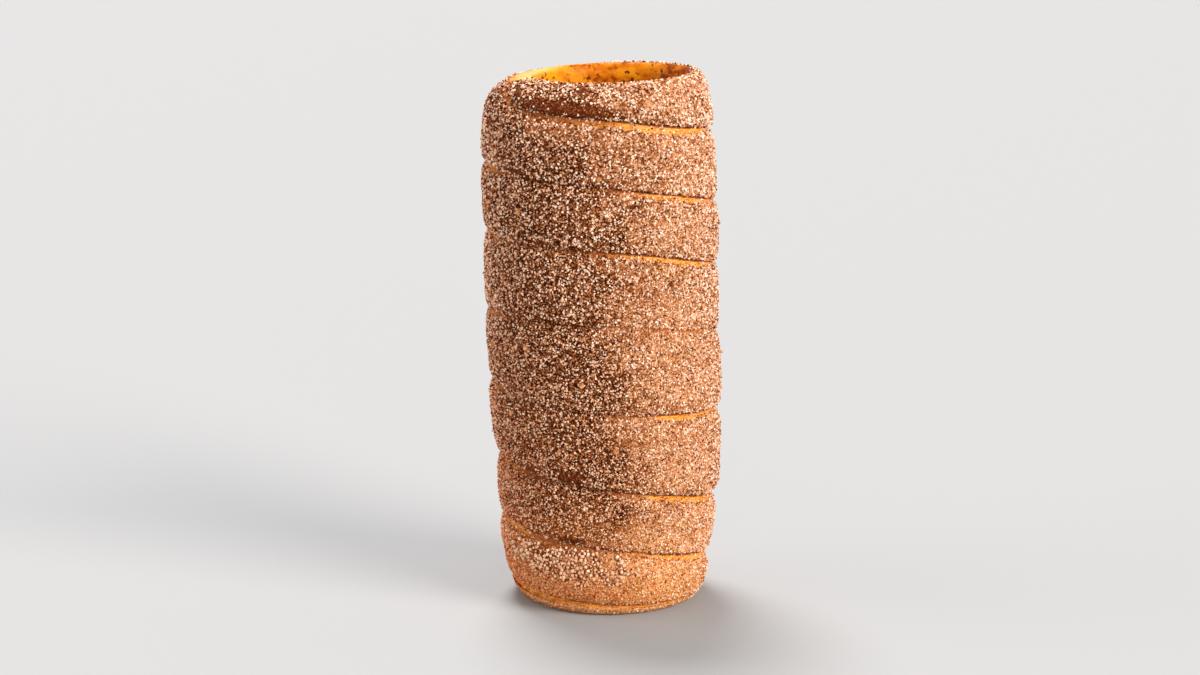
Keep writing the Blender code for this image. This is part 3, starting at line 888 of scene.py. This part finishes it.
def strewSugar(dough, name, kind, coat, draw):
    # the dough's crust is copied, strewn and made real
    crystal = makeCrystal(name + "Crystal", kind["shape"], kind["size"], draw)
    bpy.ops.object.select_all(action="DESELECT")
    strewn = dough.copy()
    strewn.data = dough.data.copy()
    strewn.name = name
    bpy.context.collection.objects.link(strewn)
    nodes = CoatTree(name + "Strewing")
    scatter = nodes.add("GeometryNodeDistributePointsOnFaces", {"distribute_method": "POISSON"}, {
        "Mesh": nodes.entry.outputs[0], "Distance Min": coat["gap"], "Density Max": coat["density"],
        "Density Factor": nodes.read(coat["held"]), "Seed": coat["seed"],
    })
    lift = nodes.chance("FLOAT", coat["sunk"], coat["proud"], coat["proudSeed"])
    outward = nodes.add("ShaderNodeVectorMath", {"operation": "SCALE"},
                        {0: scatter.outputs["Normal"], "Scale": lift})
    lifted = nodes.add("GeometryNodeSetPosition", None,
                       {"Geometry": scatter.outputs["Points"], "Offset": outward.outputs[0]})
    turned = nodes.chance("FLOAT_VECTOR", *anyWay, coat["turnSeed"])
    place = nodes.add("GeometryNodeInputPosition").outputs[0]
    height = nodes.add("ShaderNodeSeparateXYZ", None, {0: place}).outputs["Z"]
    grown = nodes.sum("MULTIPLY_ADD", height, coat["perMetre"], coat["atFoot"])
    sized = nodes.chance("FLOAT", coat["smallest"], coat["largest"], coat["sizeSeed"])
    sized = nodes.sum("MULTIPLY", sized, grown)
    shape = nodes.add("GeometryNodeObjectInfo", {"transform_space": "ORIGINAL"}, {"Object": crystal})
    placed = nodes.add("GeometryNodeInstanceOnPoints", None, {
        "Points": lifted.outputs[0], "Selection": nodes.kindDrawn(*kind["drawn"]),
        "Instance": shape.outputs["Geometry"], "Rotation": turned, "Scale": sized,
    })
    nodes.realize(placed)
    nodes.applyTo(strewn)
    bpy.data.objects.remove(crystal)
    strewn.data.materials.clear()
    strewn.data.materials.append(sugarFinish(name, kind))
    bpy.ops.object.shade_flat()
    print(name, len(strewn.data.polygons), "faces")
    return strewn


# how much each thing turns a grain from its lighter colour to its darker one, and warms it;
# pairs are where a blend begins and where it is full
sugarLook = {
    "patch": (0.016, 2), "patchEdge": (0.35, 0.65), "patchDeep": 0.16,
    "rust": (0.0050, 3), "rustEdge": (0.46, 0.62), "rustHeights": (0.016, 0.050), "rustDeep": 0.36,
    "toneDeep": 0.62, "bakedDeep": 0.34, "deepened": (0.10, 0.95),
    "beltFoot": (0.030, 0.056), "beltTop": (0.170, 0.148), "beltAcross": (-0.002, 0.014), "beltDeep": 0.17,
    # painted light: grains low on the left are painted lighter, where that side gets little lamp light
    "paintedLowLeftLightHeights": (0.100, 0.045), "paintedLowLeftLightAcross": (-0.006, -0.034), "paintedLowLeftLight": 0.72,
    # painted light: grains at the lip of the foot are painted lighter and less warm
    "paintedLipLightHeights": (0.009, 0.003), "paintedLipLightening": 0.8, "paintedLipLightCooling": 0.15,
    "warmHeights": (0.140, 0.010), "warmAcross": (0.040, -0.004), "lowLeftWarm": 0.34, "lowWarm": 0.08,
    "edgeAcross": (-0.004, -0.040), "edgeWarm": 0.12, "bakedWarm": 0.14,
    "footHeights": (0.030, 0.012), "footLeftWarm": 0.58, "endHeights": (0.020, 0.006), "endWarm": 0.34,
    "warmAtLeft": (0.92, 0.54, 0.26, 1), "warmAtRight": (1.0, 0.78, 0.30, 1),
    "rough": 0.26, "toneRough": 0.36,
}


def sugarFinish(name, kind):
    # darker on the well-baked side and in a belt at the right, painted lighter low on the left and
    # at the lip of the foot as painted light, and warmer towards the foot
    look = sugarLook
    finish = Finish(name + "Finish")
    tone = finish.read("tone")
    baked = finish.read("baked")
    across, _, height = finish.split(finish.place())
    patch = finish.band(finish.cloud(*look["patch"]), *look["patchEdge"])
    rust = finish.band(finish.cloud(*look["rust"]), *look["rustEdge"])
    rust = rust * finish.band(height, *look["rustHeights"])
    mixed = tone * look["toneDeep"] + patch * look["patchDeep"] + rust * look["rustDeep"]
    mixed = finish.band(mixed + baked * look["bakedDeep"], *look["deepened"])
    belt = finish.band(height, *look["beltFoot"]) * finish.band(height, *look["beltTop"])
    mixed = mixed + belt * finish.band(across, *look["beltAcross"]) * look["beltDeep"]
    # painted light: grains low on the left are painted lighter, where that side gets little lamp light
    paintedLowLeftLight = finish.band(height, *look["paintedLowLeftLightHeights"]) * finish.band(across, *look["paintedLowLeftLightAcross"])
    mixed = mixed * (1 - paintedLowLeftLight * look["paintedLowLeftLight"])
    # painted light: grains at the lip of the foot are painted lighter and less warm
    paintedLipLightMask = finish.band(height, *look["paintedLipLightHeights"])
    mixed = mixed * (1 - paintedLipLightMask * look["paintedLipLightening"])
    colour = finish.blend(mixed, kind["tint"], kind["deep"])
    low = finish.band(height, *look["warmHeights"])
    left = finish.band(across, *look["warmAcross"])
    warmth = low * (left * look["lowLeftWarm"] + look["lowWarm"])
    warmth = warmth + finish.band(across, *look["edgeAcross"]) * look["edgeWarm"]
    warmth = warmth + finish.band(height, *look["footHeights"]) * left * look["footLeftWarm"]
    warmth = warmth + baked * look["bakedWarm"]
    warmth = warmth + finish.band(height, *look["endHeights"]) * look["endWarm"]
    warmth = warmth * (1 - paintedLipLightMask * look["paintedLipLightCooling"]) * kind["warmed"]
    warm = finish.blend(left, look["warmAtRight"], look["warmAtLeft"])
    finish.give("Base Color", finish.blend(warmth, colour, warm, "MULTIPLY"))
    finish.give("Roughness", look["rough"] + tone * look["toneRough"])
    finish.give("Specular IOR Level", kind["shine"])
    return finish.material


lumpLook = {
    "count": 110, "largest": 0.0024, "smallest": 0.0014, "sunk": 0.30, "seamGap": 0.0030,
    "lowest": 0.0130, "highest": 0.2000, "seed": 11, "core": 0.66, "crumb": 0.30, "turnSeed": 3,
    "kept": 0.85, "keptSeed": 4, "uneven": 0.35, "sizeSeed": 6, "amber": 1.8,
    "upStep": 0.7549, "roundStep": 0.5698, "outside": 0.08,
    "coreSize": 0.9, "coreUneven": 0.7, "coreGrain": 3.0,
}


def nearSeam(share, height):
    for number in range(math.ceil(doughForm["lastTurn"])):
        if abs(seamHeight(number + share) - height) < lumpLook["seamGap"]:
            return True
    return False


def makeLumps(dough):
    # the largest lumps, where the solid has them
    surface = BVHTree.FromObject(dough, bpy.context.evaluated_depsgraph_get())
    draw = random.Random(lumpLook["seed"])
    bpy.ops.object.select_all(action="DESELECT")
    lumps = []
    number = 0
    while len(lumps) < lumpLook["count"]:
        number += 1
        up = number * lumpLook["upStep"] % 1
        height = lumpLook["lowest"] + (lumpLook["highest"] - lumpLook["lowest"]) * up
        share = number * lumpLook["roundStep"] % 1
        if nearSeam(share, height):
            continue
        outward = Vector((math.cos(angleOf(share)), math.sin(angleOf(share)), 0))
        start = Vector((0, 0, height)) + outward * lumpLook["outside"]
        point, normal, _, _ = surface.ray_cast(start, -outward)
        size = lumpLook["largest"]
        size += (lumpLook["smallest"] - lumpLook["largest"]) * len(lumps) / lumpLook["count"]
        turned = Euler([draw.uniform(0, math.pi) for _ in range(3)])
        middle = point + normal * size * (0.5 - lumpLook["sunk"])
        bpy.ops.mesh.primitive_ico_sphere_add(subdivisions=1, radius=lumpLook["core"] * size / 2,
                                              location=middle, rotation=turned)
        lump = bpy.context.object
        for corner in lump.data.vertices:
            bumpy = noise.noise(corner.co * lumpLook["coreGrain"] / size + Vector((number, 0, 0)))
            corner.co *= lumpLook["coreSize"] + lumpLook["coreUneven"] * bumpy
        marks = {"crumb": size * lumpLook["crumb"], "baked": draw.uniform(0, lumpLook["amber"])}
        for name, value in marks.items():
            values = [value] * len(lump.data.vertices)
            lump.data.attributes.new(name, "FLOAT", "POINT").data.foreach_set("value", values)
        lumps.append(lump)
    for lump in lumps:
        lump.select_set(True)
    bpy.context.view_layer.objects.active = lumps[0]
    bpy.ops.object.join()
    bpy.ops.object.transform_apply(location=True, rotation=True, scale=True)
    made = bpy.context.object
    made.name = "sugarLumps"
    crystal = makeCrystal("lumpCrystal", "block", 1.0, draw)
    nodes = CoatTree("lumpCrystals")
    points = nodes.add("GeometryNodeMeshToPoints", None, {"Mesh": nodes.entry.outputs[0]})
    grown = nodes.chance("FLOAT", 1 - lumpLook["uneven"], 1 + lumpLook["uneven"], lumpLook["sizeSeed"])
    shape = nodes.add("GeometryNodeObjectInfo", {"transform_space": "ORIGINAL"}, {"Object": crystal})
    kept = nodes.sum("LESS_THAN", nodes.chance("FLOAT", 0.0, 1.0, lumpLook["keptSeed"]), lumpLook["kept"])
    placed = nodes.add("GeometryNodeInstanceOnPoints", None, {
        "Points": points.outputs[0], "Selection": kept, "Instance": shape.outputs["Geometry"],
        "Scale": nodes.sum("MULTIPLY", nodes.read("crumb"), grown),
        "Rotation": nodes.chance("FLOAT_VECTOR", *anyWay, lumpLook["turnSeed"]),
    })
    nodes.realize(placed)
    nodes.applyTo(made)
    bpy.data.objects.remove(crystal)
    made.data.materials.clear()
    made.data.materials.append(sugarFinish("sugarLumps", lumpGrain))
    print("lumps placed,", len(made.data.polygons), "faces")
    return made


studio = {
    "floorSize": 14.0, "floorColour": (0.365, 0.365, 0.37, 1), "floorRough": 0.8,
    "air": (0.97, 0.98, 1.0, 1), "airStrength": 0.50, "lampAway": 2,
    "lamps": {              # degrees to the right of the camera, degrees up, strength, softness, colour
        "keyLamp": (53, 27, 3.55, 34, (1.0, 0.96, 0.90)),
        "topLamp": (-160, 66, 3.2, 22, (1.0, 1.0, 1.0)),
        "fillLamp": (-86, 16, 1.15, 50, (1.0, 0.88, 0.76)),
        "lowLamp": (4, 1, 1.00, 40, (1.0, 0.94, 0.87)),
    },
}
photoView = {"place": (-0.00105, -1.2, 0.358), "down": 11.9, "lens": 92, "sensor": 36}


def makeFloor():
    bpy.ops.object.select_all(action="DESELECT")
    bpy.ops.mesh.primitive_plane_add(size=studio["floorSize"], location=(0, 0, cakeLow[2]))
    floor = bpy.context.object
    floor.name = "studioFloor"
    finish = Finish("paleFloor")
    finish.give("Base Color", studio["floorColour"])
    finish.give("Roughness", studio["floorRough"])
    floor.data.materials.append(finish.material)


def hangLamp(name, right, up, strength, softness, colour):
    # a far soft lamp, so that the floor is lit evenly
    right, up = math.radians(right), math.radians(up)
    place = Vector((math.sin(right) * math.cos(up), -math.cos(right) * math.cos(up), math.sin(up)))
    bpy.ops.object.light_add(type="SUN", location=place * studio["lampAway"])
    lamp = bpy.context.object
    lamp.name = name
    lamp.data.energy = strength
    lamp.data.angle = math.radians(softness)
    lamp.data.color = colour
    lamp.rotation_euler = (-place).to_track_quat("-Z", "Y").to_euler()


def makeStudio():
    makeFloor()
    for name, values in studio["lamps"].items():
        hangLamp(name, *values)
    world = bpy.data.worlds.new("studioAir")
    world.use_nodes = True
    world.node_tree.nodes["Background"].inputs["Color"].default_value = studio["air"]
    world.node_tree.nodes["Background"].inputs["Strength"].default_value = studio["airStrength"]
    bpy.context.scene.world = world
    bpy.context.scene.view_settings.view_transform = "Standard"
    bpy.ops.object.camera_add(location=photoView["place"])
    camera = bpy.context.object
    camera.rotation_euler = (math.radians(90 - photoView["down"]), 0, 0)
    camera.data.lens = photoView["lens"]
    camera.data.sensor_width = photoView["sensor"]
    bpy.context.scene.camera = camera
    print("studio set")


def main():
    dough = makeDough()
    dough.data.materials.clear()
    dough.data.materials.append(doughFinish())
    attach(dough, "root")
    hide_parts("chimney_cake")
    print("dough made,", len(dough.data.polygons), "faces")
    draw = random.Random(sugarCoat["seed"])
    pieces = [strewSugar(dough, name, kind, sugarCoat, draw) for name, kind in sugarKinds.items()]
    pieces.append(strewSugar(dough, "sugarDrift", driftGrain, sugarDrift, draw))
    pieces.append(makeLumps(dough))
    for piece in pieces:
        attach(piece, "root")
    makeStudio()


main()
